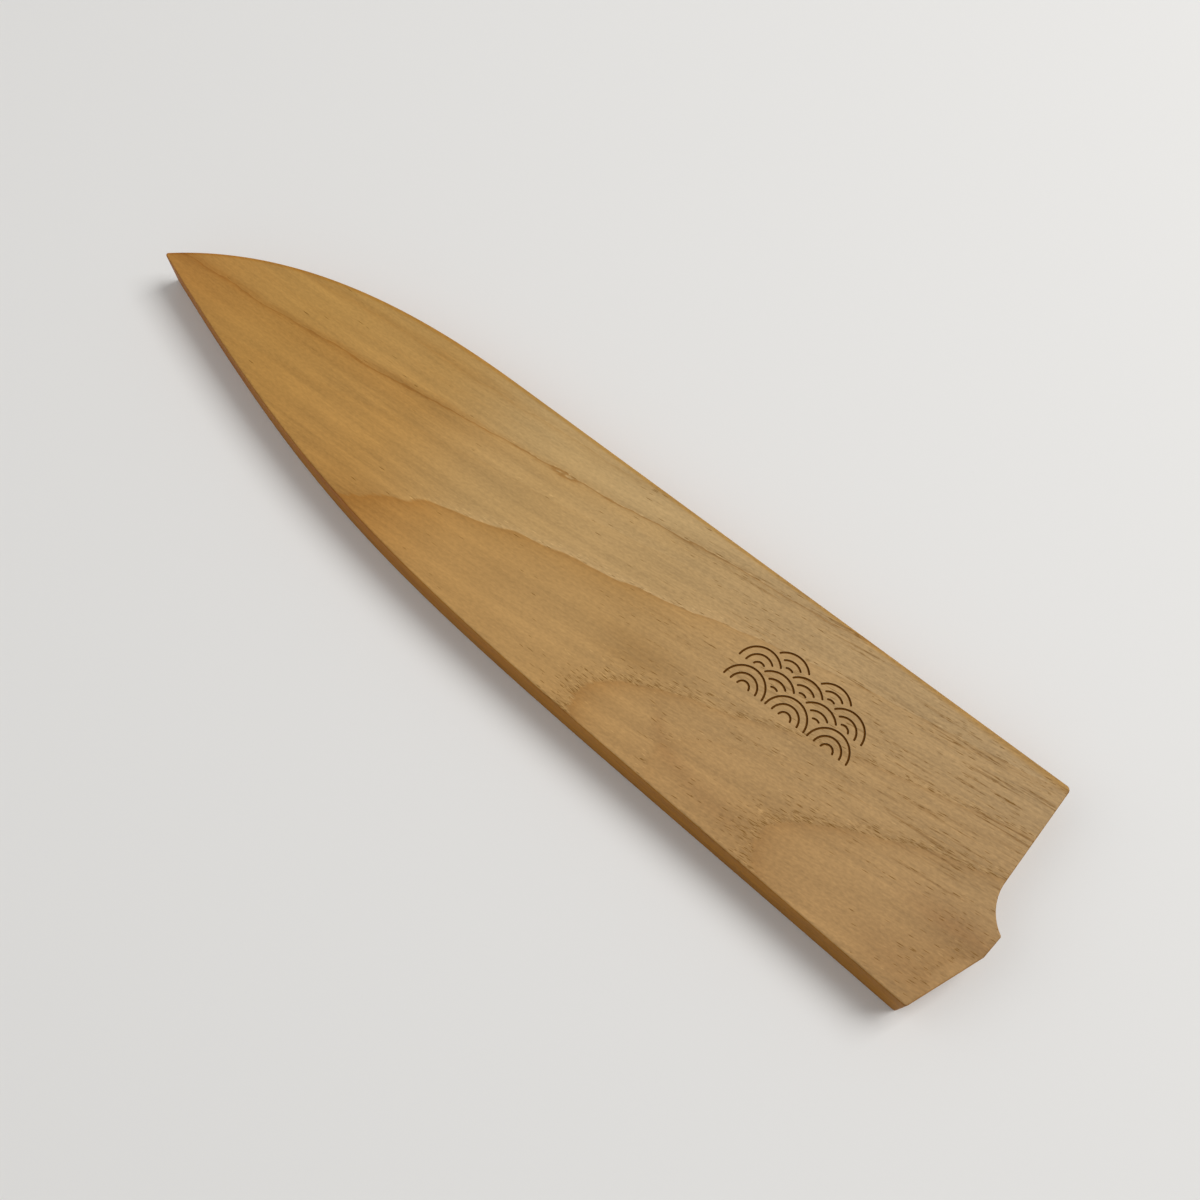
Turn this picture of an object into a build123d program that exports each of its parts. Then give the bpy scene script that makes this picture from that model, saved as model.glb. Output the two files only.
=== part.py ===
"""Laminated wooden guard for a cook's knife blade, lying on its back board.

Two outer boards are glued over a spine strip, an edge strip and a tip block.
The strips leave a flat slot, open at the mouth, that the blade slides into.
Three disc magnets in the back board hold the blade, so there is no peg.

Units are millimetres. +X runs from the tip to the mouth, +Y from the edge side to
the spine side and +Z up. The origin is below the centre, on the resting face.
"""

from build123d import *
from math import acos, atan2, cos, degrees, hypot, radians, sin, sqrt
import os

# Whole guard
guard_length = 226.0  # rounded tip to the end of the heel lobe
guard_width = 52.5  # spine line to the low corner of the mouth
board_thickness = 3.5  # each outer board
slot_thickness = 3.0  # the strips between the boards, and so the slot

# Spine side: a straight run from the mouth, then a fall to the tip
spine_straight_length = 135.5
tip_drop = 25.0  # from the spine line down to the tip
spine_tip_angle = 42.8  # between the spine side and the length, at the tip
spine_pull_shares = (0.22, 0.425)  # curve handles, as shares of the fall's length

# Edge side: one long curve from the low corner to the tip
edge_tip_angle = 17.9
edge_heel_angle = 2.2
edge_pull_shares = (0.573, 0.379)  # curve handles, as shares of the edge's length

# Mouth: square to the spine where the blade's neck leaves, then a lobe over the heel
neck_height = 22.9  # straight part of the mouth, from the spine line
choil_radius = 10.0  # hollow between the mouth line and the lobe
lobe_reach = 4.8  # past the mouth line
lobe_face_height = 5.0
lobe_face_lean = 0.4
low_corner_setback = 1.6  # behind the mouth line

# Corners and edges, softened by sanding
mouth_corner_radius = 1.0
lobe_corner_radius = 0.5
low_corner_radius = 0.7
tip_radius = 0.5
edge_rounding = 0.45
lead_in = 0.4  # bevel inside the slot's mouth

# Walls round the slot
wall_thickness = 4.5
tip_block_length = 26.0

# Disc magnets, in blind pockets in the back board
magnet_diameter = 8.0
magnet_thickness = 2.0
magnet_side_clearance = 0.05
magnet_recess = 0.1  # below the slot's floor
magnet_inset = 9.0  # from the slot's spine side to a magnet's centre
magnet_place_shares = (0.1, 0.39, 0.68)  # behind the mouth line, as shares of the length
magnet_names = ("heel_magnet", "middle_magnet", "tip_magnet")

# Burnt-in band of wave scales, a common traditional pattern
wave_radius = 5.0
wave_line_width = 0.45
wave_line_depth = 0.25
wave_line_gap = 0.45  # clear wood left between lines that would meet
wave_ring_shares = (1.0, 0.68, 0.36)  # ring radii, as shares of wave_radius
wave_row_counts = (3, 2, 3, 2)  # scales in each row, from the edge side up
waves_setback = 50.0  # from the mouth line back to the band's centre
waves_drop = 17.5  # from the spine line down to the band's centre

overrun = 5.0  # how far cutting tools pass what they cut

# Places worked out from the sizes
guard_thickness = 2 * board_thickness + slot_thickness
spine_y = guard_width / 2
mouth_x = guard_length / 2 - lobe_reach
tip_angle = spine_tip_angle + edge_tip_angle
slot_floor = board_thickness
slot_roof = board_thickness + slot_thickness


def heading(angle):
    """Unit vector at an angle in degrees from +X."""
    return Vector(cos(radians(angle)), sin(radians(angle)))


def sharp_tip():
    """The tip before rounding, placed so that the rounded tip ends the length."""
    half = radians(tip_angle / 2)
    bisector = heading((spine_tip_angle - edge_tip_angle) / 2)
    round_end = tip_radius / sin(half) * bisector.X - tip_radius
    return Vector(-guard_length / 2 - round_end, spine_y - tip_drop)


def swept_side(start, start_angle, end, end_angle, pull_shares):
    """Smooth side from start to end; each angle is the heading towards the other end."""
    span = abs(end.X - start.X)
    near, far = (span * share for share in pull_shares)
    return Bezier(
        start,
        start + near * heading(start_angle),
        end + far * heading(end_angle),
        end,
    )


def spine_fall(start, tip):
    return swept_side(start, 180, tip, spine_tip_angle, spine_pull_shares)


def edge_side(start, tip):
    return swept_side(start, 180 - edge_heel_angle, tip, -edge_tip_angle, edge_pull_shares)


def plan_corners():
    """Sharp corners of the guard's plan that its two long sides share."""
    spine_turn = Vector(mouth_x - spine_straight_length, spine_y)
    low_corner = Vector(mouth_x - low_corner_setback, spine_y - guard_width)
    return spine_turn, sharp_tip(), low_corner


def guard_face():
    """Plan of the whole guard with sharp corners, and the radius that rounds each corner."""
    spine_turn, tip, low_corner = plan_corners()
    spine_corner = Vector(mouth_x, spine_y)
    hollow_top = Vector(mouth_x, spine_y - neck_height)
    hollow_centre = hollow_top + Vector(choil_radius, 0)
    hollow_drop = sqrt(choil_radius**2 - (choil_radius - lobe_reach) ** 2)
    hollow_turn = degrees(acos((choil_radius - lobe_reach) / choil_radius))
    hollow_middle = hollow_centre - choil_radius * heading(hollow_turn / 2)
    lobe_top = Vector(mouth_x + lobe_reach, hollow_top.Y - hollow_drop)
    lobe_low = lobe_top - Vector(lobe_face_lean, lobe_face_height)
    plan = make_face(
        [
            Line(spine_corner, spine_turn),
            spine_fall(spine_turn, tip),
            edge_side(low_corner, tip),
            Line(low_corner, lobe_low),
            Line(lobe_low, lobe_top),
            ThreePointArc(lobe_top, hollow_middle, hollow_top),
            Line(hollow_top, spine_corner),
        ]
    )
    corner_radii = {
        spine_corner: mouth_corner_radius,
        lobe_top: lobe_corner_radius,
        lobe_low: lobe_corner_radius,
        low_corner: low_corner_radius,
        tip: tip_radius,
    }
    return plan, corner_radii


def slot_face():
    """Plan of the room for the blade: the guard run on past its mouth, less its walls."""
    spine_turn, tip, low_corner = plan_corners()
    far_x = guard_length / 2 + wall_thickness + overrun
    far_spine = Vector(far_x, spine_y)
    edge_run_out = (far_x - low_corner.X) / cos(radians(edge_heel_angle))
    far_edge = low_corner + edge_run_out * heading(-edge_heel_angle)
    longer_plan = make_face(
        [
            Line(far_spine, spine_turn),
            spine_fall(spine_turn, tip),
            edge_side(low_corner, tip),
            Line(low_corner, far_edge),
            Line(far_edge, far_spine),
        ]
    )
    return offset(longer_plan, -wall_thickness, kind=Kind.INTERSECTION).face().to_splines()


def guard_blank():
    """The whole guard as a solid block, sanded to its outside shape."""
    face, corner_radii = guard_face()
    blank = extrude(face, guard_thickness)
    for corner, radius in corner_radii.items():
        upright = blank.edges().filter_by(Axis.Z).sort_by_distance(corner)[0]
        blank = fillet(upright, radius)
    rims = blank.faces().sort_by(Axis.Z)
    return fillet(rims[0].edges() + rims[-1].edges(), edge_rounding)


def layer(low, high):
    """Slab over the whole plan between two heights."""
    reach = overrun + guard_length
    return Pos(0, 0, (low + high) / 2) * Box(reach, guard_width + overrun, high - low)


def ease_mouth(board, inner_z):
    """Bevels the board's inner face along the mouth, between the strips."""
    room = slot_face()
    slot_end = board & (Pos(0, 0, -overrun) * extrude(room, guard_thickness + 2 * overrun))
    inner_face = slot_end.faces().filter_by(Axis.Z).sort_by_distance((0, 0, inner_z))[0]
    walls = Pos(0, 0, inner_z) * room.outer_wire()
    mouth_edges = [
        edge for edge in inner_face.outer_wire().edges() if walls.distance_to(edge.center()) > lead_in
    ]
    return board - (slot_end - chamfer(mouth_edges, lead_in))


def magnet_places():
    centre_y = spine_y - wall_thickness - magnet_inset
    return [(mouth_x - share * guard_length, centre_y) for share in magnet_place_shares]


def magnet(x, y):
    seat = slot_floor - magnet_recess - magnet_thickness
    return Pos(x, y, seat + magnet_thickness / 2) * Cylinder(magnet_diameter / 2, magnet_thickness)


def magnet_pocket(x, y):
    depth = magnet_recess + magnet_thickness
    radius = magnet_diameter / 2 + magnet_side_clearance
    return Pos(x, y, slot_floor - depth / 2 + overrun / 2) * Cylinder(radius, depth + overrun)


def wave_line(centre, radius, low_angle, high_angle):
    """One curved groove of the wave pattern, as a tool that cuts down from the face."""
    inner = radius - wave_line_width / 2
    outer = radius + wave_line_width / 2
    sweep = high_angle - low_angle
    face = make_face(
        [
            CenterArc(centre, outer, low_angle, sweep),
            Line(centre + outer * heading(high_angle), centre + inner * heading(high_angle)),
            CenterArc(centre, inner, low_angle, sweep),
            Line(centre + inner * heading(low_angle), centre + outer * heading(low_angle)),
        ]
    )
    return Pos(0, 0, guard_thickness - wave_line_depth) * extrude(face, wave_line_depth + overrun)


def hidden_angle(radius, across, below):
    """Angle up to which a ring lies under the scale that is across and below from its centre."""
    cover = wave_radius + (wave_line_width + wave_line_gap) / 2
    reach = hypot(across, below)
    overlap = (radius**2 + reach**2 - cover**2) / (2 * radius * reach)
    return degrees(acos(min(1, max(-1, overlap))) - atan2(below, across))


def first_angle(radius, scales_below):
    """Angle where a ring comes out from under all the scales on one side below it."""
    return max([0] + [hidden_angle(radius, across, below) for across, below in scales_below])


def wave_centres():
    """Centres of the scales in rows, each row half a scale higher and half a scale along."""
    rise = wave_radius / 2
    band_height = rise * (len(wave_row_counts) - 1) + wave_radius
    low = Vector(mouth_x - waves_setback, spine_y - waves_drop - band_height / 2)
    rows = enumerate(wave_row_counts)
    return [
        low + Vector((2 * number - count + 1) * wave_radius, row * rise)
        for row, count in rows
        for number in range(count)
    ]


def wave_lines():
    """Concentric grooves of every scale, each stopping short of the scales in front of it."""
    centres = wave_centres()
    reach = 2 * wave_radius
    lines = []
    for centre in centres:
        steps = [other - centre for other in centres if other.Y < centre.Y]
        near = [step for step in steps if step.length < reach]
        right = [(step.X, -step.Y) for step in near if step.X >= 0]
        left = [(-step.X, -step.Y) for step in near if step.X <= 0]
        for share in wave_ring_shares:
            radius = share * wave_radius - (wave_line_width + wave_line_gap) / 2
            low_angle = first_angle(radius, right)
            high_angle = 180 - first_angle(radius, left)
            lines.append(wave_line(centre, radius, low_angle, high_angle))
    return lines


def make_parts():
    blank = guard_blank()
    front_board = ease_mouth(blank & layer(slot_roof, guard_thickness), slot_roof)
    back_board = ease_mouth(blank & layer(0, slot_floor), slot_floor)
    for groove in wave_lines():
        front_board -= groove
    for place in magnet_places():
        back_board -= magnet_pocket(*place)

    room = Pos(0, 0, slot_floor) * extrude(slot_face(), slot_thickness)
    core = (blank & layer(slot_floor, slot_roof)) - room
    tip_side = Pos(tip_block_length - guard_length, 0, 0) * layer(slot_floor, slot_roof)
    tip_side = Pos(-overrun / 2, 0, 0) * tip_side
    strips = (core - tip_side).solids().sort_by(Axis.Y)

    parts = {
        "front_board": front_board,
        "back_board": back_board,
        "edge_strip": strips[0],
        "spine_strip": strips[-1],
        "tip_block": core & tip_side,
    }
    for name, place in zip(magnet_names, magnet_places()):
        parts[name] = magnet(*place)
    return parts


os.makedirs("parts", exist_ok=True)
for node, shape in make_parts().items():
    export_step(shape, f"parts/{node}.step")
    print(node, "solids", len(shape.solids()), "volume", round(shape.volume))
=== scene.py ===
# %% [markdown]
# This lesson dresses a wooden guard for a cook's knife blade. The guard is a flat sandwich: two
# boards with two thin strips and a tip block glued between them, which leave a slot for the blade,
# and three disc magnets in the back board that hold it. Nothing on it moves. Almost all that an
# eye sees is wood, so most of the work goes into clean outlines, softly sanded edges and one wood
# shader whose growth rings run through the whole thickness.

from math import acos, atan2, cos, degrees, hypot, pi, radians, sin, sqrt, tan

import bmesh
import bpy
from mathutils import Matrix, Vector


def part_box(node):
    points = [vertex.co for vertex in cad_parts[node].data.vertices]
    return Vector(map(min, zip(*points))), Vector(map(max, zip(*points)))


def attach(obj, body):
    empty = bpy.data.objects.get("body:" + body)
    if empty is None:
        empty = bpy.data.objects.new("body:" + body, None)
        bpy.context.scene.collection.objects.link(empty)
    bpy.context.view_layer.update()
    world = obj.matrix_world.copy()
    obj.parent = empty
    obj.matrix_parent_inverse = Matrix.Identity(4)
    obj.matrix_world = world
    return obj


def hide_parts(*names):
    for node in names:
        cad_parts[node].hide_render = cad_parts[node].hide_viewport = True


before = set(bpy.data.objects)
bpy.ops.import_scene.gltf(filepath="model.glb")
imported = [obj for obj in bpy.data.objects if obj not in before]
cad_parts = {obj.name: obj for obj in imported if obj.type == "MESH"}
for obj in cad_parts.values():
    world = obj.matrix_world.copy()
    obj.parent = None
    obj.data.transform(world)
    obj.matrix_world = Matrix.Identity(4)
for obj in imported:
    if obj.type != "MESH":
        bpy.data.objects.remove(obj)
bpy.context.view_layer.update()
print("nodes", sorted(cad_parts))

# %% [markdown]
# Sizes are written in millimetres, as a woodworker would, and multiplied by MM where Blender
# wants metres. The places of the layers are read from the frame, so that every new piece lies
# where the part has it.

# %% Sizes read from the frame
MM = 0.001
front_low, front_high = (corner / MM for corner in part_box("front_board"))
back_low, back_high = (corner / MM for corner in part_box("back_board"))
spine_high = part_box("spine_strip")[1] / MM
tip_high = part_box("tip_block")[1] / MM

face_z = front_high.z
slot_roof = front_low.z
slot_floor = back_high.z
spine_y = spine_high.y
mouth_x = spine_high.x
tip_joint_x = tip_high.x
print("guard", [round(v, 2) for v in front_high - back_low], "mouth line at", round(mouth_x, 2))

# %% [markdown]
# The camera comes first. The photograph's horizon and lens follow from how the guard's parallel
# lines close in: the lens is 39 mm on a 36 mm wide sensor, and the camera looks down at 68
# degrees, with the mouth at the lower right.

# %% Camera
sensor_width = 36.0
lens_length = 39.0
camera_place = Vector((78.1, -76.6, 249.9))
camera_azimuth = radians(39.73)
camera_elevation = radians(67.74)


def add_object(name, data):
    thing = bpy.data.objects.new(name, data)
    bpy.context.scene.collection.objects.link(thing)
    return thing


def set_camera():
    camera = add_object("camera", bpy.data.cameras.new("camera"))
    camera.data.lens = lens_length
    camera.data.sensor_width = sensor_width
    camera.data.sensor_fit = "HORIZONTAL"
    camera.location = camera_place * MM
    camera.rotation_euler = (pi / 2 - camera_elevation, 0, camera_azimuth)
    bpy.context.scene.camera = camera


set_camera()
print("camera", round(camera_place.length), "mm from the guard's foot")

# %% [markdown]
# The shaders are built with a set of small helpers. Each one makes a node and hands back its
# output, which keeps the many sums of the wood readable.

# %% Shader helpers
faintest_dash = 0.4
dash_core = 0.2
dash_edge = 0.5


class Sums:
    """Makes maths nodes in one material's tree."""

    def __init__(self, tree):
        self.tree = tree

    def new(self, kind):
        return self.tree.nodes.new("ShaderNode" + kind)

    def feed(self, socket, value):
        if isinstance(value, bpy.types.NodeSocket):
            self.tree.links.new(value, socket)
        else:
            socket.default_value = value

    def do(self, operation, *values):
        node = self.new("Math")
        node.operation = operation
        for socket, value in zip(node.inputs, values):
            self.feed(socket, value)
        return node.outputs[0]

    def add(self, first, *others):
        for other in others:
            first = self.do("ADD", first, other)
        return first

    def times(self, first, *others):
        for other in others:
            first = self.do("MULTIPLY", first, other)
        return first

    def less(self, first, second):
        return self.do("SUBTRACT", first, second)

    def ease(self, value, low, high, out_low=0.0, out_high=1.0):
        node = self.new("MapRange")
        node.interpolation_type = "SMOOTHSTEP"
        numbers = (value, low, high, out_low, out_high)
        for name, number in zip(("Value", "From Min", "From Max", "To Min", "To Max"), numbers):
            self.feed(node.inputs[name], number)
        return node.outputs[0]

    def bell(self, value, middle, width):
        away = self.do("DIVIDE", self.less(value, middle), width)
        return self.do("EXPONENT", self.times(away, away, -1.0))

    def spot(self, x, y, middle, width):
        """A soft round or oval spot, 1 in its middle."""
        return self.times(self.bell(x, middle[0], width[0]), self.bell(y, middle[1], width[1]))

    def parts(self, point):
        node = self.new("SeparateXYZ")
        self.feed(node.inputs[0], point)
        return node.outputs

    def point(self, x, y, z):
        node = self.new("CombineXYZ")
        for socket, value in zip(node.inputs, (x, y, z)):
            self.feed(socket, value)
        return node.outputs[0]

    def pattern(self, kind, point, cell, shift=0.0):
        """A noise node; cell is the size of its lumps along x, y and z."""
        mapping = self.new("Mapping")
        mapping.inputs["Location"].default_value = (shift, shift, shift)
        mapping.inputs["Scale"].default_value = [1 / size for size in cell]
        self.feed(mapping.inputs["Vector"], point)
        node = self.new(kind)
        node.inputs["Scale"].default_value = 1.0
        self.feed(node.inputs["Vector"], mapping.outputs[0])
        return node

    def noise(self, point, cell, detail=2.0):
        """Cloudy noise from 0 to 1."""
        cloud = self.pattern("TexNoise", point, cell)
        cloud.inputs["Detail"].default_value = detail
        return cloud.outputs["Fac"]

    def ripple(self, point, cell, detail=2.0):
        """The same noise from -0.5 to 0.5."""
        return self.less(self.noise(point, cell, detail), 0.5)

    def dashes(self, point, cell, share, shift=0.0):
        """Short dashes, one to a cell of this size, in a share of the cells."""
        cells = self.pattern("TexVoronoi", point, cell, shift)
        pick = self.parts(cells.outputs["Color"])
        opened = self.do("LESS_THAN", pick[0], share)
        depth = self.ease(pick[1], 0.0, 1.0, faintest_dash, 1.0)
        body = self.ease(cells.outputs["Distance"], dash_core, dash_edge, 1.0, 0.0)
        return self.times(opened, depth, body)

    def ramp(self, value, stops):
        """Colours at places along a value."""
        first, last = stops[0][0], stops[-1][0]
        node = self.new("ValToRGB")
        node.color_ramp.interpolation = "EASE"
        while len(node.color_ramp.elements) < len(stops):
            node.color_ramp.elements.new(0.5)
        for stop, (place, colour) in zip(node.color_ramp.elements, stops):
            stop.position = (place - first) / (last - first)
            stop.color = (*colour, 1)
        share = self.do("DIVIDE", self.less(value, first), last - first)
        self.feed(node.inputs["Fac"], share)
        return node.outputs["Color"]

    def along_line(self, value, places):
        """The height of a line drawn through places, (x, y) each, at x = value."""
        low, high = places[0], places[-1]
        length = high.x - low.x
        rise = high.y - low.y
        node = self.new("FloatCurve")
        points = node.mapping.curves[0].points
        points[0].location = (0, 0)
        points[1].location = (1, 1)
        for place in places[1:-1]:
            points.new((place.x - low.x) / length, (place.y - low.y) / rise)
        node.mapping.update()
        share = self.do("DIVIDE", self.less(value, low.x), length)
        self.feed(node.inputs["Value"], share)
        return self.add(self.times(node.outputs[0], rise), low.y)

    def scaled(self, colour, amount):
        node = self.new("VectorMath")
        node.operation = "SCALE"
        self.feed(node.inputs[0], colour)
        self.feed(node.inputs["Scale"], amount)
        return node.outputs[0]

    def mix(self, share, first, second, blend="MIX"):
        """Blends two colours; a share beyond 0 and 1 is clamped to them."""
        node = self.new("Mix")
        node.data_type = "RGBA"
        node.blend_type = blend
        self.feed(node.inputs["Factor"], share)
        for name, value in (("A", first), ("B", second)):
            socket = [s for s in node.inputs if s.name == name and s.type == "RGBA"][0]
            self.feed(socket, value if isinstance(value, bpy.types.NodeSocket) else (*value, 1))
        return [s for s in node.outputs if s.type == "RGBA"][0]

    def tinted(self, colour, share, tint):
        return self.mix(share, colour, tint, "MULTIPLY")


# %% [markdown]
# The stage is a plain pale floor under a pale world. Far from the guard the floor fades into the
# world's colour for the camera and for reflections, so that no horizon shows, and it lights
# nothing by that. The main lamp is a large soft box up to the right and behind, where the
# photograph's light comes from: it catches the mouth's edges and leaves the low side in shade. A
# weaker box on the other side keeps that shade open.

# %% Stage and light
floor_size = 12.0
floor_drop = 0.05
floor_colour = (0.80, 0.79, 0.77)
floor_roughness = 0.85
fade_start = 0.30
fade_end = 1.00
world_fill = 0.34
world_white = 0.90
key_place = (0.42, 0.62, 1.05)
key_size = 0.7
key_power = 11.0
fill_place = (-0.7, -0.45, 0.8)
fill_size = 0.9
fill_power = 1.8


def seen_directly(sums):
    """1 for what the camera sees, straight, mirrored or through glass, and 0 for other light."""
    rays = sums.new("LightPath").outputs
    bent = sums.do("MAXIMUM", rays["Is Glossy Ray"], rays["Is Transmission Ray"])
    return sums.do("MAXIMUM", rays["Is Camera Ray"], bent)


def fade_far_off(tree, shader):
    sums = Sums(tree)
    distance = sums.new("VectorMath")
    distance.operation = "LENGTH"
    sums.feed(distance.inputs[0], sums.new("TexCoord").outputs["Object"])
    far = sums.ease(distance.outputs["Value"], fade_start, fade_end, 0.0, seen_directly(sums))
    haze = sums.new("Emission")
    haze.inputs["Strength"].default_value = world_white
    mix = sums.new("MixShader")
    for socket, source in zip(mix.inputs, (far, shader.outputs[0], haze.outputs[0])):
        sums.feed(socket, source)
    sums.feed(tree.nodes["Material Output"].inputs["Surface"], mix.outputs[0])


def new_paint(name):
    """A material, its node tree and its shader."""
    paint = bpy.data.materials.new(name)
    paint.use_nodes = True
    return paint, paint.node_tree, paint.node_tree.nodes["Principled BSDF"]


def make_floor():
    shape = bmesh.new()
    bmesh.ops.create_grid(shape, x_segments=1, y_segments=1, size=floor_size / 2)
    mesh = bpy.data.meshes.new("floor")
    shape.to_mesh(mesh)
    shape.free()
    floor = add_object("floor", mesh)
    floor.location.z = -floor_drop * MM
    paint, tree, shader = new_paint("floor paint")
    shader.inputs["Base Color"].default_value = (*floor_colour, 1)
    shader.inputs["Roughness"].default_value = floor_roughness
    fade_far_off(tree, shader)
    mesh.materials.append(paint)


def soft_box(name, place, size, power):
    lamp = bpy.data.lights.new(name, "AREA")
    lamp.shape = "SQUARE"
    lamp.size = size
    lamp.energy = power
    box = add_object(name, lamp)
    box.location = place
    box.rotation_euler = Vector(place).to_track_quat("Z", "Y").to_euler()


def make_world():
    world = bpy.data.worlds.new("studio")
    bpy.context.scene.world = world
    world.use_nodes = True
    sums = Sums(world.node_tree)
    sky = world.node_tree.nodes["Background"]
    sky.inputs["Color"].default_value = (1, 1, 1, 1)
    strength = sums.ease(seen_directly(sums), 0.0, 1.0, world_fill, world_white)
    sums.feed(sky.inputs["Strength"], strength)


make_floor()
make_world()
soft_box("key box", key_place, key_size, key_power)
soft_box("fill box", fill_place, fill_size, fill_power)
bpy.context.scene.view_settings.view_transform = "Standard"
print("lamps", len(bpy.data.lights))

# %% [markdown]
# The outline is drawn once as a Bezier curve with seven knots, the way a maker draws a template:
# a straight spine that falls to the tip, one long sweep along the edge side, and the stepped
# mouth with its hollow. Drawing it as a curve keeps the two long sides fair, which a row of
# typed points never does. The handles are given as an angle and a share of the side's length.

# %% Template sizes
guard_length = 226.0
spine_straight_length = 135.5
tip_drop = 25.0
tip_radius = 0.5
spine_tip_angle = 42.8
spine_pull_shares = (0.22, 0.425)
edge_tip_angle = 17.9
edge_heel_angle = 2.2
edge_pull_shares = (0.573, 0.379)
guard_width = 52.5
neck_height = 22.9
choil_radius = 10.0
lobe_reach = 4.8
lobe_face_height = 5.0
lobe_face_lean = 0.4
low_corner_setback = 1.6
wall_thickness = 4.5
mouth_corner_radius = 1.0
low_corner_radius = 0.7
lobe_corner_radius = 0.5
curve_steps = 72
shortest_step = 0.16


def heading(angle):
    return Vector((cos(radians(angle)), sin(radians(angle)), 0))


def handles(start, start_angle, end, end_angle, pull_shares):
    """The two handles of a side; each angle is the heading towards the side's other end."""
    span = abs(end.x - start.x)
    near = start + pull_shares[0] * span * heading(start_angle)
    far = end + pull_shares[1] * span * heading(end_angle)
    return near, far


def arc_pull(quarter, radius):
    """The handle that bends a curve into an arc; quarter is a fourth of the arc's angle."""
    return 4 / 3 * tan(quarter) * radius


def rounded(knots):
    """Swaps each knot that has a radius for the two ends of a true arc."""
    smooth = []
    for number, (place, before, after, radius) in enumerate(knots):
        if not radius:
            smooth.append((place, before, after))
            continue
        arm_in = ((before or knots[number - 1][0]) - place).normalized()
        arm_out = ((after or knots[(number + 1) % len(knots)][0]) - place).normalized()
        half = arm_in.angle(arm_out) / 2
        start = place + radius / tan(half) * arm_in
        end = place + radius / tan(half) * arm_out
        pull = arc_pull((pi / 2 - half) / 2, radius)
        smooth.append((start, before, start - pull * arm_in))
        smooth.append((end, end - pull * arm_out, after))
    return smooth


def drawn(curve):
    """A curve's mesh, ready for editing."""
    thing = add_object(curve.name, curve)
    mesh = bpy.data.meshes.new_from_object(thing)
    bpy.data.objects.remove(thing)
    shape = bmesh.new()
    shape.from_mesh(mesh)
    bpy.data.meshes.remove(mesh)
    return shape


def curve_plan(knots):
    """A flat face from knots (place, handle before, handle after, corner radius)."""
    curve = bpy.data.curves.new("template", "CURVE")
    curve.dimensions = "3D"
    spline = curve.splines.new("BEZIER")
    smooth = rounded(knots)
    spline.bezier_points.add(len(smooth) - 1)
    spline.use_cyclic_u = True
    spline.resolution_u = curve_steps
    for point, (place, before, after) in zip(spline.bezier_points, smooth):
        point.co = place
        point.handle_left_type = "FREE" if before else "VECTOR"
        point.handle_right_type = "FREE" if after else "VECTOR"
        point.handle_left = before or place
        point.handle_right = after or place
    plan = drawn(curve)
    bmesh.ops.remove_doubles(plan, verts=plan.verts, dist=shortest_step)
    bmesh.ops.contextual_create(plan, geom=plan.edges)
    return plan


# %% [markdown]
# The tip's place follows from the guard's whole length: a rounded tip is a little shorter than
# the sharp one it is drawn from.

# %% Plan of the guard
spine_corner = Vector((mouth_x, spine_y, 0))
spine_turn = Vector((mouth_x - spine_straight_length, spine_y, 0))
low_corner = Vector((mouth_x - low_corner_setback, spine_y - guard_width, 0))
half_tip = radians(spine_tip_angle + edge_tip_angle) / 2
tip_bisector = heading((spine_tip_angle - edge_tip_angle) / 2)
tip_trim = tip_radius / sin(half_tip) * tip_bisector.x - tip_radius
tip = Vector((mouth_x + lobe_reach - guard_length - tip_trim, spine_y - tip_drop, 0))
hollow_top = Vector((mouth_x, spine_y - neck_height, 0))
hollow_turn = acos((choil_radius - lobe_reach) / choil_radius)
lobe_top = hollow_top + Vector((lobe_reach, -choil_radius * sin(hollow_turn), 0))
lobe_low = lobe_top - Vector((lobe_face_lean, lobe_face_height, 0))


def guard_plan():
    leave_spine, reach_tip = handles(spine_turn, 180, tip, spine_tip_angle, spine_pull_shares)
    reach_low, leave_tip = handles(
        low_corner, 180 - edge_heel_angle, tip, -edge_tip_angle, edge_pull_shares
    )
    hollow_pull = arc_pull(hollow_turn / 4, choil_radius)
    leave_lobe = lobe_top + hollow_pull * heading(90 + degrees(hollow_turn))
    reach_mouth = hollow_top + hollow_pull * heading(-90)
    return curve_plan(
        [
            (spine_corner, None, None, mouth_corner_radius),
            (spine_turn, None, leave_spine, 0),
            (tip, reach_tip, leave_tip, tip_radius),
            (low_corner, reach_low, None, low_corner_radius),
            (lobe_low, None, None, lobe_corner_radius),
            (lobe_top, None, leave_lobe, lobe_corner_radius),
            (hollow_top, reach_mouth, None, 0),
        ]
    )


plan = guard_plan()
spine_line = sorted(v.co.xy for v in plan.verts if v.co.y > tip.y and v.co.x < spine_turn.x)
print("plan corners", len(plan.verts), "faces", len(plan.faces))

# %% [markdown]
# A board is the plan pushed up to its thickness. Its outer rim is then eased with a small round
# bevel, as sandpaper leaves it: the top rim on the front board, the bottom rim on the back one.
# The inner rim at the mouth gets a flat lead-in for the blade, but only between the slot's
# walls, so the chain of edges is first split just inside both walls. The flat faces are parted
# into fields round the wave band and the magnets, so that each later cut stays in one of them.

# %% Boards
rim_radius = 0.45
rim_steps = 5
lead_in = 0.4
slot_roof_y = spine_y - wall_thickness
slot_low_y = spine_y - guard_width + wall_thickness
mouth_reach = 3.0
rim_turn = radians(45)
level_tolerance = 0.001
split_tolerance = 0.01
band_sides = (40.0, 76.5)
band_rows = (0.6, 17.0)
magnet_nodes = ("heel_magnet", "middle_magnet", "tip_magnet")
magnet_margin = 2.0


def at_mouth(edge):
    return all(vert.co.x > mouth_x - mouth_reach for vert in edge.verts)


def between_walls(edge):
    low = slot_low_y + lead_in - split_tolerance
    high = slot_roof_y - lead_in + split_tolerance
    return all(low < vert.co.y < high for vert in edge.verts)


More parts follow.
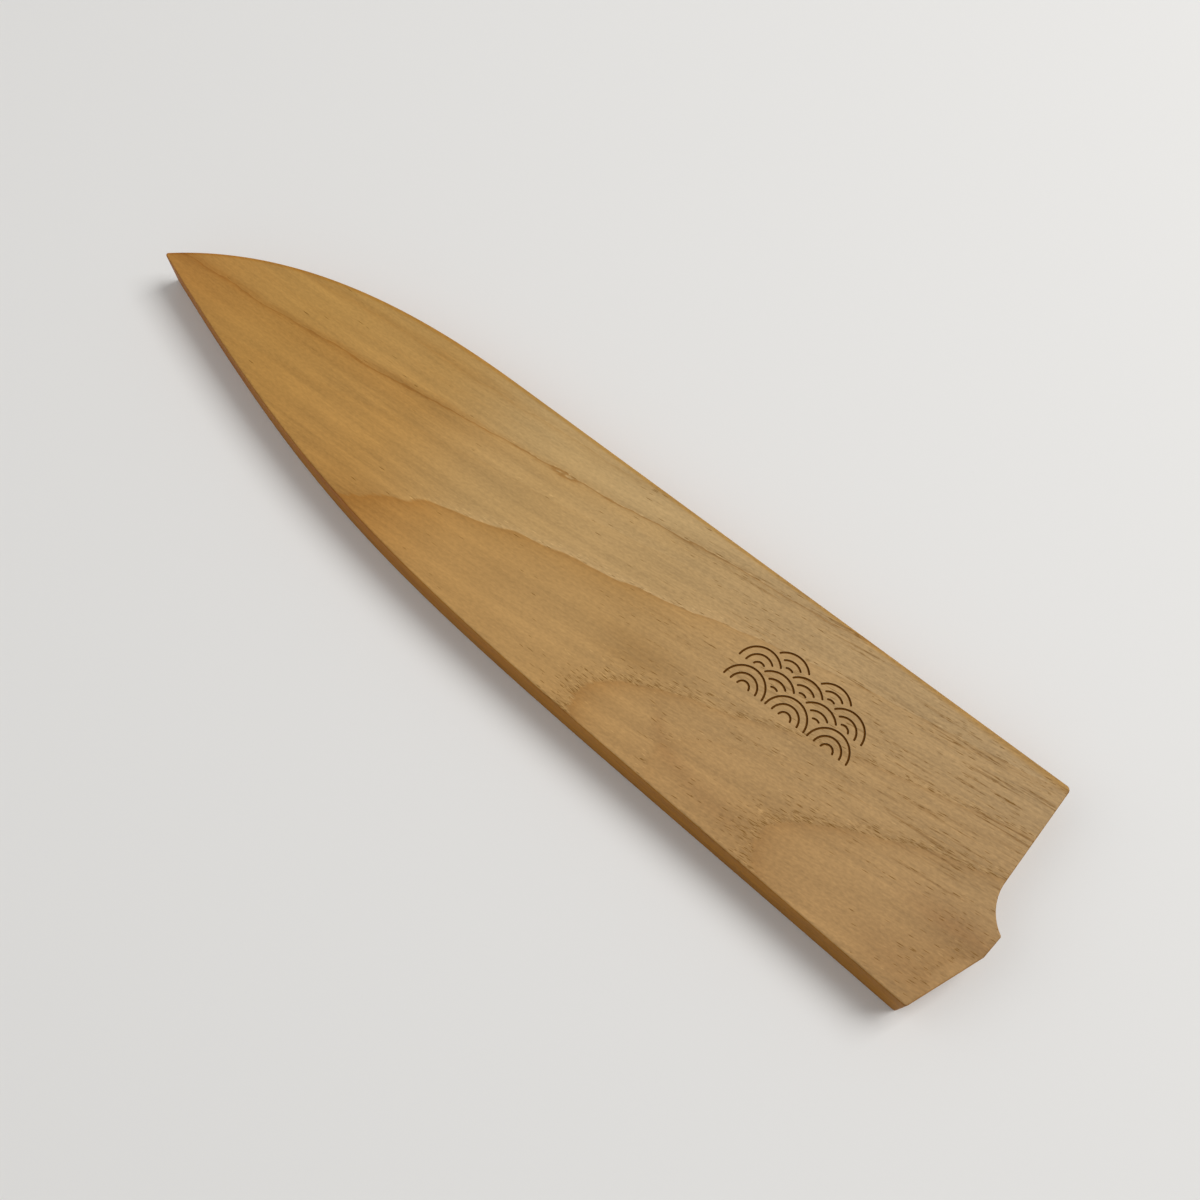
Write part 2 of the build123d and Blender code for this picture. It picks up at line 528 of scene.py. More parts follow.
def split_mouth(plan, y):
    """A new corner on the mouth's outline at a height y, without cutting the face."""
    crossing = [
        edge
        for edge in filter(at_mouth, plan.edges)
        if min(vert.co.y for vert in edge.verts) < y < max(vert.co.y for vert in edge.verts)
    ]
    bmesh.ops.bisect_plane(
        plan,
        geom=crossing + [vert for edge in crossing for vert in edge.verts],
        plane_co=(0, y, 0),
        plane_no=(0, 1, 0),
    )


def raise_plan(plan, low, high):
    grown = bmesh.ops.extrude_face_region(plan, geom=plan.faces[:])
    moved = [item for item in grown["geom"] if isinstance(item, bmesh.types.BMVert)]
    bmesh.ops.translate(plan, verts=moved, vec=(0, 0, high - low))
    bmesh.ops.translate(plan, verts=plan.verts, vec=(0, 0, low))
    bmesh.ops.recalc_face_normals(plan, faces=plan.faces)


def rim_edges(shape, z):
    """The edges at a height z where a flat face meets a wall."""
    level = [
        edge
        for edge in shape.edges
        if all(abs(vert.co.z - z) < level_tolerance for vert in edge.verts)
    ]
    return [edge for edge in level if edge.calc_face_angle() > rim_turn]


def bevel_edges(shape, edges, size, segments):
    bmesh.ops.bevel(
        shape,
        geom=edges,
        offset=size,
        offset_type="OFFSET",
        segments=segments,
        profile=0.5,
        affect="EDGES",
        clamp_overlap=False,
        material=-1,
    )


def part_along(shape, spot, side, **options):
    """Parts a shape along a plane and tells what lies in the plane."""
    everything = shape.verts[:] + shape.edges[:] + shape.faces[:]
    return bmesh.ops.bisect_plane(shape, geom=everything, plane_co=spot, plane_no=side, **options)


def part_fields(plan, xs, ys):
    """Parts the plan along straight lines, so that a later cut stays inside one field."""
    for x in xs:
        part_along(plan, (x, 0, 0), (1, 0, 0))
    for y in ys:
        part_along(plan, (0, y, 0), (0, 1, 0))


def board(low, high, rim_z, inner_z, xs, ys):
    shape = guard_plan()
    part_fields(shape, xs, ys)
    split_mouth(shape, slot_roof_y - lead_in)
    split_mouth(shape, slot_low_y + lead_in)
    raise_plan(shape, low, high)
    bevel_edges(shape, rim_edges(shape, rim_z), rim_radius, rim_steps)
    mouth = [edge for edge in rim_edges(shape, inner_z) if at_mouth(edge) and between_walls(edge)]
    bevel_edges(shape, mouth, lead_in, 1)
    return shape


def keep(shape, name):
    """Stores a shape as an object, still in millimetres."""
    mesh = bpy.data.meshes.new(name)
    shape.to_mesh(mesh)
    shape.free()
    return add_object(name, mesh)


front = board(slot_roof, face_z, face_z, slot_roof, band_sides, band_rows)
front_panel = keep(front, "front_panel")
magnet_sides = []
for node in magnet_nodes:
    low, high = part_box(node)
    magnet_sides += [low.x / MM - magnet_margin, high.x / MM + magnet_margin]
low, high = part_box(magnet_nodes[0])
magnet_rows = (low.y / MM - magnet_margin, high.y / MM + magnet_margin)
back = board(back_low.z, slot_floor, back_low.z, slot_floor, magnet_sides, magnet_rows)
back_panel = keep(back, "back_panel")
print("panels", len(front_panel.data.polygons), len(back_panel.data.polygons))

# %% [markdown]
# Cuts are made with a boolean and baked in at once, so that no cutter stays behind in the
# scene. Where the cutter carries a material of its own, its faces bring it along: this is how
# the burnt floor of a groove gets its dark brown. Slivers and the seams that the cut leaves
# inside a flat face are then dissolved, which keeps the shading of that face even.

# %% Cutting tool
sliver = 0.002
flat_share = 0.9999
flat_turn = radians(0.5)


def lies_flat(face):
    return abs(face.normal.z) > flat_share


def cut(target, tool):
    boolean = target.modifiers.new("cut", "BOOLEAN")
    boolean.operation = "DIFFERENCE"
    boolean.solver = "EXACT"
    boolean.material_mode = "TRANSFER"
    boolean.object = tool
    seen = target.evaluated_get(bpy.context.evaluated_depsgraph_get())
    result = bpy.data.meshes.new_from_object(seen)
    target.modifiers.clear()
    old, target.data = target.data, result
    bpy.data.meshes.remove(old)
    bpy.data.meshes.remove(tool.data)
    shape = bmesh.new()
    shape.from_mesh(result)
    bmesh.ops.dissolve_degenerate(shape, edges=shape.edges, dist=sliver)
    inner = [edge for edge in shape.edges if len(edge.link_faces) > 1]
    seams = [edge for edge in inner if all(map(lies_flat, edge.link_faces))]
    bmesh.ops.dissolve_limit(
        shape, angle_limit=flat_turn, edges=seams, verts=[], delimit={"MATERIAL"}
    )
    shape.to_mesh(result)
    shape.free()


# %% [markdown]
# The strips and the tip block are one more layer of the same plan, less the room for the blade.
# The room has its own template, 4.5 mm inside the guard's sides, and runs on past the mouth.
# The layer is then parted at the joint between the strips and the tip block, and between the
# strips, which the room already keeps apart.

# %% Strips and tip block
room_tip = Vector((-104.252, 3.03, 0))
room_spine_angle = 36.28
room_spine_shares = (0.221, 0.410)
room_edge_angle = 17.46
room_edge_shares = (0.576, 0.3605)
room_low = Vector((106.773, -21.753, 0))
room_run_out = 15.0
overlap = 1.0


def slot_plan():
    room_turn = Vector((spine_turn.x, slot_roof_y, 0))
    leave_spine, reach_tip = handles(room_turn, 180, room_tip, room_spine_angle, room_spine_shares)
    reach_low, leave_tip = handles(
        room_low, 180 - edge_heel_angle, room_tip, -room_edge_angle, room_edge_shares
    )
    past_low = room_low + room_run_out * heading(-edge_heel_angle)
    past_roof = Vector((past_low.x, slot_roof_y, 0))
    return curve_plan(
        [
            (past_roof, None, None, 0),
            (room_turn, None, leave_spine, 0),
            (room_tip, reach_tip, leave_tip, 0),
            (room_low, reach_low, None, 0),
            (past_low, None, None, 0),
        ]
    )


def side_of(shape, place, normal):
    """Keeps what lies on the far side of a plane and closes the cut."""
    part = shape.copy()
    cut_line = part_along(part, place, normal, clear_inner=True)
    rim = [item for item in cut_line["geom_cut"] if isinstance(item, bmesh.types.BMEdge)]
    if rim:
        bmesh.ops.holes_fill(part, edges=rim)
    bmesh.ops.recalc_face_normals(part, faces=part.faces)
    return part


room = slot_plan()
raise_plan(room, slot_floor - overlap, slot_roof + overlap)
room_tool = keep(room, "room")
layer = guard_plan()
raise_plan(layer, slot_floor, slot_roof)
core = keep(layer, "core")
cut(core, room_tool)
whole = bmesh.new()
whole.from_mesh(core.data)
bpy.data.meshes.remove(core.data)
joint = (tip_joint_x, 0, 0)
strips = side_of(whole, joint, (1, 0, 0))
middle = (0, room_tip.y, 0)
nose_block = keep(side_of(whole, joint, (-1, 0, 0)), "nose_block")
spine_lath = keep(side_of(strips, middle, (0, 1, 0)), "spine_lath")
edge_lath = keep(side_of(strips, middle, (0, -1, 0)), "edge_lath")
strips.free()
whole.free()
for piece in (nose_block, spine_lath, edge_lath):
    print(piece.name, [round(size, 2) for size in piece.dimensions])

# %% [markdown]
# The wood is one shader for all five pieces. It works in millimetres on Object coordinates, so
# the figure runs through the thickness and shows on the walls as well. The board is cut flat from
# a tree, so the growth rings meet its face as nested arches that open towards the mouth. One
# field numbers the rings. Along the foot line it is simply x, and above that line an arch runs
# back along a curve that straightens out. How wide the curve opens and how much it bends depend
# on the ring itself, so the field is settled in three rounds. It grows with depth, so that rings
# slope on the walls.

# %% Ring field
arch_foot = -18.47
arch_rounds = 3
first_slope = 5.0
lowest_ring = -300.0
highest_ring = 120.0
opening_start = 1.725
opening_per_mm = 0.00484
bend_start = 0.112
bend_per_mm = 0.00018
least_bend = 0.02
fall_share = 1 / 12
dip_per_mm = 9.0


def ring_field(sums, x, y, depth):
    above = sums.do("MAXIMUM", sums.less(y, arch_foot), 0.0)
    below = sums.do("MAXIMUM", sums.less(arch_foot, y), 0.0)
    fall = sums.times(below, below, fall_share)
    level = sums.less(x, sums.times(above, first_slope))
    for _ in range(arch_rounds):
        share = sums.do("MINIMUM", sums.do("MAXIMUM", level, lowest_ring), highest_ring)
        opening = sums.add(sums.times(share, opening_per_mm), opening_start)
        opening = sums.do("EXPONENT", opening)
        bend = sums.add(sums.times(share, bend_per_mm), bend_start)
        bend = sums.do("MAXIMUM", bend, least_bend)
        root = sums.do("SQRT", sums.add(opening, sums.times(above, bend, 4.0)))
        run = sums.do("DIVIDE", sums.less(root, sums.do("SQRT", opening)), sums.times(bend, 2.0))
        level = sums.less(sums.less(x, sums.times(run, run)), fall)
    return sums.add(level, sums.times(depth, dip_per_mm))


# %% [markdown]
# Each ring is drawn from its boundary. Behind it, towards the mouth, lie a thin dark line of late
# wood and a wide warm fade. Before it, towards the tip and the spine, runs a strip that is paler
# or browner than its surroundings and full of open pores. Some rings also have a soft shadow
# there. The list says where each ring lies in the field, how strong its marks are, how broad its
# line is, how far its fade reaches and how far it drifts near the mouth. A span says how a mark
# changes along the guard: between two values of x, and from one strength to another.

# %% Rings
boundary_blur = 0.8
strip_width = 5.0
shadow_middle = -5.0
shadow_width = 12.0
drift_span = (20.0, 66.0)
line_from_tip = (-80.0, -30.0, 0.25, 1.0)
line_to_mouth = (20.0, 70.0, 1.0, 0.5)
warm_span = (10.0, 55.0, 1.0, 0.3)
pale_from_tip = (-38.0, -16.0, -0.3, 1.0)
pale_to_mouth = (20.0, 55.0, 1.0, 0.1)
dull_from_tip = (-62.0, -52.0)
dull_to_mouth = (-40.0, -26.0, 0.80, 0.0)
pore_span = (-30.0, 10.0, 0.1, 1.0)
shadow_span = (-50.0, 20.0, 1.0, 0.3)
plain_ring = dict(line=0.0, breadth=2.4, shadow=0.0, fade=0.0, reach=22.0)
plain_ring.update(pale=0.0, brown=0.0, pores=0.2, drift=0.0)


def ring(place, **marks):
    return dict(plain_ring, place=place, **marks)


rings = [
    ring(-369, line=0.35, shadow=0.35, fade=0.20, pale=0.10),
    ring(-281, line=0.05, shadow=0.12),
    ring(-193, line=2.60, breadth=2.2, shadow=0.60, fade=0.55, reach=45.0, pale=0.40, pores=1.6),
    ring(-154, shadow=0.12),
    ring(-118, line=0.05, fade=0.10, pale=0.10),
    ring(-47, line=0.55, fade=1.00, reach=45.0, pale=1.00, pores=0.8, drift=-15.0),
    ring(24, line=0.70, fade=0.60, reach=9.0, brown=0.40, pores=3.2),
    ring(43, line=0.25, fade=0.30, pale=0.10, brown=0.25, pores=0.3),
    ring(68, line=0.95, fade=1.10, reach=9.0, brown=0.50, pores=3.6),
    ring(107, line=0.12, fade=0.20, brown=0.70, pores=0.6),
    ring(160, line=0.35, fade=0.35, pale=0.20, brown=0.20, pores=0.8),
    ring(215, line=0.35, fade=0.40, pale=0.20, brown=0.20, pores=0.8),
]


def ring_marks(sums, level, x):
    """Late wood, warmth, paleness, brownness and pores at a place in the field."""
    drifted = sums.ease(x, *drift_span)
    crisp = sums.times(sums.ease(x, *line_from_tip), sums.ease(x, *line_to_mouth))
    soft = sums.ease(x, *warm_span)
    bright = sums.times(sums.ease(x, *pale_from_tip), sums.ease(x, *pale_to_mouth))
    dull = sums.times(sums.ease(x, *dull_from_tip), sums.ease(x, *dull_to_mouth))
    coarse = sums.ease(x, *pore_span)
    shaded = sums.ease(x, *shadow_span)
    line = warm = pale = brown = pores = 0.0
    for one in rings:
        past = sums.less(level, one["place"])
        if one["drift"]:
            past = sums.less(past, sums.times(drifted, one["drift"]))
        inside = sums.ease(past, -boundary_blur, boundary_blur)
        outside = sums.less(1.0, inside)
        behind = sums.do("MAXIMUM", past, 0.0)
        before = sums.do("MINIMUM", past, 0.0)
        thin = sums.do("EXPONENT", sums.times(behind, -1 / one["breadth"]))
        wide = sums.do("EXPONENT", sums.times(behind, -1 / one["reach"]))
        strip = sums.times(sums.do("EXPONENT", sums.times(before, 1 / strip_width)), outside)
        line = sums.add(line, sums.times(thin, inside, crisp, one["line"]))
        warm = sums.add(warm, sums.times(wide, inside, soft, one["fade"]))
        if one["shadow"]:
            shadow = sums.bell(past, shadow_middle, shadow_width)
            line = sums.add(line, sums.times(shadow, shaded, one["shadow"]))
        pale = sums.add(pale, sums.times(strip, bright, one["pale"]))
        brown = sums.add(
            brown, sums.times(strip, one["brown"]), sums.times(strip, dull, one["pale"])
        )
        pores = sums.add(pores, sums.times(strip, strip, coarse, one["pores"]))
    return line, warm, pale, brown, pores


print("rings", len(rings))

# %% [markdown]
# Everything finer than the rings follows the fibres. They run along the guard at the tip, bend
# away slowly, and lie at seven degrees to it from the middle on to the mouth. Ring boundaries
# are not clean curves either. They sway, step and fray along the fibres, least near the mouth.
# The first long boundary is lifted towards the tip, and the second one has a kink.

# %% Fibres
fibre_angle = radians(7)
fibre_bend = 0.00055
bend_end = 20.0
sway_size = (28, 7, 7)
sway_reach = 3.2
step_size = (9, 1.7, 1.7)
step_reach = (5.0, 2.4)
fray_size = (3.6, 0.55, 0.55)
fray_reach = (6.0, 1.7)
steady_span = (0.0, 30.0, 1.0, 0.5)
kink_rise = (-6.5, -9.5, 0.0, 5.5)
kink_span = (-10.0, -24.0)
lift_span = (-74.0, -108.0, 0.0, 1.9)


def fibre_points(sums, x, y, z):
    """The place in two frames that follow the fibres: a straight one and a bent one."""
    along = sums.add(sums.times(x, cos(fibre_angle)), sums.times(y, sin(fibre_angle)))
    across = sums.less(sums.times(y, cos(fibre_angle)), sums.times(x, sin(fibre_angle)))
    short = sums.do("MINIMUM", sums.less(x, bend_end), 0.0)
    bow = sums.times(short, short, fibre_bend)
    return sums.point(along, across, z), sums.point(along, sums.less(across, bow), z)


def frayed_field(sums, fibre, x, y, z):
    """The ring field with its boundaries swayed, stepped and frayed."""
    steady = sums.ease(x, *steady_span)
    sway = sums.ripple(fibre, sway_size)
    step = sums.times(sums.ripple(fibre, step_size), steady)
    fray = sums.times(sums.ripple(fibre, fray_size, 3.0), steady)
    kink = sums.times(sums.ease(y, *kink_rise), sums.ease(x, *kink_span))
    lift = sums.ease(x, *lift_span)
    shift_x = sums.add(sums.times(step, step_reach[0]), sums.times(fray, fray_reach[0]))
    shift_y = sums.add(
        sums.times(sway, sway_reach),
        sums.times(step, step_reach[1]),
        sums.times(fray, fray_reach[1]),
    )
    frayed_x = sums.less(sums.add(x, shift_x), kink)
    frayed_y = sums.less(sums.add(y, shift_y), lift)
    return ring_field(sums, frayed_x, frayed_y, sums.less(face_z, z))


# %% [markdown]
# A few darker clouds lie in the wood: a smudge just before the first arch, a streak that sags
# from the foot of that arch to the foot of the next, and two by the mouth, on the lobe and in the
# low corner.

# %% Clouds
patch_span = (0.3, 0.7, 0.6, 1.0)
smudge_middle = (31.0, -5.5)
smudge_width = (13.0, 4.5)
smudge_end = (10.0, 26.0, 1.0, 0.0)
lobe_middle = (106.0, -9.5)
lobe_width = (10.0, 4.0)
corner_middle = (101.0, -21.0)
corner_width = (9.0, 4.5)
corner_strength = 0.45
foot_start = (36.0, 41.0)
foot_end = (69.0, 60.0)
foot_middle = -20.0
foot_width = 1.9
foot_strength = 0.60
sag_start = 40.0
sag_length = 6.5
sag_depth = 6.3


def clouds(sums, x, y, level, band):
    """How much of the smudge and of the other clouds there is at a place."""
    patchy = sums.ease(band, *patch_span)
    smudge = sums.spot(x, y, smudge_middle, smudge_width)
    smudge = sums.times(smudge, sums.ease(level, *smudge_end), patchy)
    sag = sums.do("EXPONENT", sums.times(sums.less(x, sag_start), -1 / sag_length))
    sagging = sums.less(y, sums.times(sag, sag_depth))
    foot = sums.times(sums.ease(x, *foot_start), sums.ease(x, *foot_end), patchy)
    foot = sums.times(foot, sums.bell(sagging, foot_middle, foot_width))
    lobe = sums.times(sums.spot(x, y, lobe_middle, lobe_width), patchy)
    corner = sums.times(sums.spot(x, y, corner_middle, corner_width), patchy)
    others = (sums.times(foot, foot_strength), sums.times(corner, corner_strength))
    return smudge, sums.add(lobe, *others)


# %% [markdown]
# The colours go from a warm honey at the tip to a greyer tan at the mouth, a little warmer along
# the edge side and paler along the spine. Late wood multiplies them with a brown, and pale strips
# lift them.

# %% Wood colours
wood_stops = [
    (-113.0, (0.422, 0.210, 0.051)),
    (-80.0, (0.444, 0.240, 0.063)),
    (-48.0, (0.450, 0.246, 0.070)),
    (-14.0, (0.480, 0.298, 0.116)),
    (12.0, (0.478, 0.302, 0.125)),
    (55.0, (0.438, 0.272, 0.116)),
    (113.0, (0.410, 0.254, 0.110)),
]
low_tint = (0.98, 0.93, 0.86)
low_span = (4.0, -24.0)
high_tint = (1.01, 1.06, 1.14)
high_span = (4.0, 24.0)
line_tint = (0.76, 0.66, 0.52)
warm_tint = (0.92, 0.80, 0.60)
pale_tint = (1.10, 1.13, 1.22)
brown_tint = (0.80, 0.75, 0.66)
smudge_tint = (0.74, 0.69, 0.60)
lobe_tint = (0.80, 0.74, 0.70)
print("colour stops", len(wood_stops))

# %% [markdown]
# Over that lie soft grain, dark veins in clusters, the pores, and painted highlights: light
# flecks where open pores would catch the light. Flecks and pores are short dashes along the
# fibre, made from the stretched cells of a Voronoi pattern, of which only a share is opened.
# Round the foot of the first arch they run straight along the guard. Towards the mouth and the
# spine the wood is coarser.

# %% Grain and pores
coarse_along = (-10.0, 90.0)
coarse_across = (-22.0, 14.0)
streak_size = (7, 0.36, 0.36)
streak_strength = 0.15
coarse_streak = 0.36
thread_size = (16, 0.8, 0.8)
thread_strength = 0.16
lively_thread = 0.25
lively_middle = -46.0
lively_width = 20.0
band_size = (42, 2.4, 2.4)
band_strength = 0.36
cloud_size = (18, 12, 12)
cloud_strength = 0.20
fuzz_size = (1.0, 0.42, 0.42)
fuzz_span = (-10.0, 60.0, 0.42, 0.60)

cluster_size = (30, 4, 4)
cluster_span = (0.42, 0.62)
vein_tint = (0.74, 0.68, 0.58)
vein_size = (12, 0.60, 0.60)
vein_span = (0.54, 0.66)
least_cluster = 0.25
# Painted highlights: light flecks that stand in for open pores catching the light.
painted_glint_tint = (1.26, 1.30, 1.34)
glint_size = (1.5, 0.24, 0.24)
glint_shift = 3.0
glints_in_pale = 0.80
glints_by_pores = 0.40
straight_below = (-8.0, -12.0)
straight_before = (45.0, 36.0)
pore_colour = (0.170, 0.074, 0.004)
pore_depth = 0.92
short_pore = (1.6, 0.17, 0.17)
long_pore = (2.3, 0.20, 0.20)
long_shift = 7.0
pores_in_rings = 0.38
pores_in_veins = 0.5
pores_in_clouds = 0.12
pores_in_clusters = (55.0, 75.0, 0.07, 0.01)
pores_anywhere = 0.003


def fibre_dashes(sums, bent, x, y, z):
    """Makes the function that draws dashes along the fibres."""
    straight = sums.point(x, y, z)
    low = sums.times(sums.ease(y, *straight_below), sums.ease(x, *straight_before))
    high = sums.less(1.0, low)

    def marks(cell, share, shift=0.0):
        return sums.do(
            "MAXIMUM",
            sums.dashes(bent, cell, sums.times(share, high), shift),
            sums.dashes(straight, cell, sums.times(share, low), shift),
        )

    return marks


def grain(sums, fibre, bent, streak, band, x, coarse):
    """How light or dark the fine layers make the wood, 1 where they do nothing."""
    lively = sums.times(sums.bell(x, lively_middle, lively_width), lively_thread)
    thread = sums.noise(bent, thread_size, 3.0)
    layers = (
        (streak, sums.add(sums.times(coarse, coarse_streak), streak_strength)),
        (thread, sums.add(lively, thread_strength)),
        (band, band_strength),
        (sums.noise(fibre, cloud_size), cloud_strength),
        (sums.noise(bent, fuzz_size, 4.0), sums.ease(x, *fuzz_span)),
    )
    parts = [sums.times(sums.less(layer, 0.5), strength) for layer, strength in layers]
    return sums.add(*parts, 1.0)


# %% [markdown]
# The paint stacks these layers: each tint multiplies what lies below it, and the pores come
# last. Streaks and pores also steer the roughness and a faint bump.

# %% Wood
wood_roughness = 0.50
streak_roughness = 0.10
line_roughness = -0.04
wood_shine = 0.12
bump_strength = 0.35
bump_height = 0.06


def wood(name, shift):
    paint, tree, shader = new_paint(name)
    sums = Sums(tree)
    where = sums.new("TexCoord")
    to_mm = sums.new("Mapping")
    to_mm.inputs["Scale"].default_value = (1 / MM, 1 / MM, 1 / MM)
    to_mm.inputs["Location"].default_value = shift
    sums.feed(to_mm.inputs["Vector"], where.outputs["Object"])
    x, y, z = sums.parts(to_mm.outputs[0])
    fibre, bent = fibre_points(sums, x, y, z)
    marks = fibre_dashes(sums, bent, x, y, z)
    level = frayed_field(sums, fibre, x, y, z)
    line, warm, pale, brown, holes = ring_marks(sums, level, x)
    streak = sums.noise(bent, streak_size, 4.0)
    band = sums.noise(bent, band_size)
    smudge, lobe = clouds(sums, x, y, level, band)
    coarse = sums.times(sums.ease(x, *coarse_along), sums.ease(y, *coarse_across))
    cluster = sums.ease(sums.noise(bent, cluster_size), *cluster_span)
    vein = sums.ease(sums.noise(bent, vein_size, 3.0), *vein_span)
    vein = sums.times(vein, coarse, sums.add(cluster, least_cluster))
    # where the painted glints of open pores go
    glint_share = sums.add(sums.times(pale, glints_in_pale), sums.times(holes, glints_by_pores))

    colour = sums.ramp(x, wood_stops)
    for share, tint in (
        (sums.ease(y, *low_span), low_tint),
        (sums.ease(y, *high_span), high_tint),
        (warm, warm_tint),
        (line, line_tint),
        (pale, pale_tint),
        (brown, brown_tint),
        (marks(glint_size, glint_share, glint_shift), painted_glint_tint),
        (smudge, smudge_tint),
        (lobe, lobe_tint),
        (vein, vein_tint),
    ):
        colour = sums.tinted(colour, share, tint)
    colour = sums.scaled(colour, grain(sums, fibre, bent, streak, band, x, coarse))

    open_share = sums.add(
        sums.times(holes, pores_in_rings),
        sums.times(vein, pores_in_veins),
        sums.times(lobe, pores_in_clouds),
        sums.times(coarse, cluster, sums.ease(level, *pores_in_clusters)),
        pores_anywhere,
    )
    pores = (marks(short_pore, open_share), marks(long_pore, open_share, long_shift))
    hole = sums.do("MAXIMUM", *pores)
    colour = sums.mix(sums.times(hole, pore_depth), colour, pore_colour)
    colour = edge_shade_and_glue_colours(sums, where, x, colour)
    sums.feed(shader.inputs["Base Color"], colour)

    rough = sums.add(sums.times(streak, streak_roughness), sums.times(line, line_roughness))
    rough = sums.add(rough, wood_roughness)
    sums.feed(shader.inputs["Roughness"], rough)
    shader.inputs["Specular IOR Level"].default_value = wood_shine
    bump = sums.new("Bump")
    bump.inputs["Strength"].default_value = bump_strength
    bump.inputs["Distance"].default_value = bump_height * MM
    sums.feed(bump.inputs["Height"], sums.less(sums.times(streak, 0.5), hole))
    sums.feed(shader.inputs["Normal"], bump.outputs[0])
    return paint


# %% [markdown]
# The last tints follow the guard's own shape, so they read the place on the piece itself: a
# warmer orange on the eased rim along the spine, wider towards the mouth, which is partly the
# wood's own warmer edge and partly painted shade; painted shade in a deeper golden brown on the
# walls; and a thin darker line at both glue joints. The back board and the strips are cut
# from the same wood at another place, so each takes the figure with a shift.

# %% Edges and walls
# The spine rim band is partly the wood's own warmer edge and partly painted shade on the eased
# rim.
spine_rim_warmth_and_shade_tint = (0.92, 0.79, 0.50)
spine_rim_warmth_and_shade_span = (60.0, 108.0, -1.3, -2.4)
spine_rim_warmth_and_shade_full = -0.5
# Painted shade: faces that turn sideways take this deeper golden brown in place of the shade on
# the walls.
painted_wall_shade_tint = (0.80, 0.56, 0.08)
painted_wall_shade_span = (0.85, 0.40)
glue_tint = (0.62, 0.52, 0.40)
glue_strength = 0.8
glue_line = 0.07
front_shift = (0, 0, 0)
back_shift = (38, 6, 0)
core_shift = (-20, 14, 4)


def edge_shade_and_glue_colours(sums, where, x, colour):
    place = sums.parts(where.outputs["Object"])
    spine_here = sums.along_line(sums.times(place[0], 1 / MM), spine_line)
    from_spine = sums.less(sums.times(place[1], 1 / MM), spine_here)
    # painted band along the spine: partly the wood's warmer edge, partly painted shade on the
    # eased rim
    rim = sums.ease(from_spine, sums.ease(x, *spine_rim_warmth_and_shade_span), spine_rim_warmth_and_shade_full)
    colour = sums.tinted(colour, rim, spine_rim_warmth_and_shade_tint)
    # painted shade on the walls, by how far the surface turns away from straight up
    facing = sums.do("ABSOLUTE", sums.parts(where.outputs["Normal"])[2])
    wall_shade = sums.ease(facing, *painted_wall_shade_span)
    colour = sums.tinted(colour, wall_shade, painted_wall_shade_tint)
    height = sums.times(place[2], 1 / MM)
    glue = sums.add(
        sums.bell(height, slot_roof, glue_line), sums.bell(height, slot_floor, glue_line)
    )
    return sums.tinted(colour, sums.times(glue, wall_shade, glue_strength), glue_tint)


front_wood = wood("front wood", front_shift)
back_wood = wood("back wood", back_shift)
core_wood = wood("core wood", core_shift)
print("wood nodes", len(front_wood.node_tree.nodes))

# %% [markdown]
# The wave band stands in the clear wood near the mouth. Every scale is three arcs, burnt with the
# same fine pen, that stop short of the scales in front. Each arc is a curve with a round section,
# so the groove comes out with an even width, a round floor and soft ends.

# %% Wave band
wave_radius = 5.0
wave_line_width = 0.45
wave_line_depth = 0.25
wave_line_gap = 0.45
wave_ring_shares = (1.0, 0.68, 0.36)
wave_row_counts = (3, 2, 3, 2)
waves_setback = 50.0
waves_drop = 17.5
row_tolerance = 0.1
pen_step = 0.4
fewest_steps = 4
pen_end_shares = (0.0, 0.08, 0.3, 0.62)
least_pen_share = 0.15
pen_roundness = 3
burnt_colour = (0.125, 0.046, 0.006)
burnt_roughness = 0.9


def hidden_angle(radius, across, below):
    """Angle up to which a ring lies under the scale that is across and below from its centre."""
    cover = wave_radius + (wave_line_width + wave_line_gap) / 2
    reach = hypot(across, below)
    overlap = (radius**2 + reach**2 - cover**2) / (2 * radius * reach)
    return acos(min(1, max(-1, overlap))) - atan2(below, across)


def first_angle(radius, scales_below):
    return max([0] + [hidden_angle(radius, across, below) for across, below in scales_below])


def wave_centres():
    rise = wave_radius / 2
    band_height = rise * (len(wave_row_counts) - 1) + wave_radius
    low_x = mouth_x - waves_setback
    low_y = spine_y - waves_drop - band_height / 2
    centres = []
    for row, count in enumerate(wave_row_counts):
        for number in range(count):
            along = (2 * number - count + 1) * wave_radius
            centres.append(Vector((low_x + along, low_y + row * rise, face_z)))
    return centres


def pen_stroke(curve, centre, radius, low_angle, high_angle):
    length = radius * (high_angle - low_angle)
    half = wave_line_width / 2
    steps = max(fewest_steps, round((length - 2 * half) / pen_step))
    run = [half + (length - 2 * half) * step / steps for step in range(steps + 1)]
    start = [half * share for share in pen_end_shares]
    run = start + run + [length - distance for distance in reversed(start)]
    stroke = curve.splines.new("POLY")
    stroke.points.add(len(run) - 1)
    for point, distance in zip(stroke.points, run):
        angle = low_angle + distance / radius
        spot = centre + radius * Vector((cos(angle), sin(angle), 0))
        point.co = (spot.x, spot.y, spot.z + half - wave_line_depth, 1)
        from_end = min(distance, length - distance, half) / half
        point.radius = max(least_pen_share, sqrt(1 - (1 - from_end) ** 2))


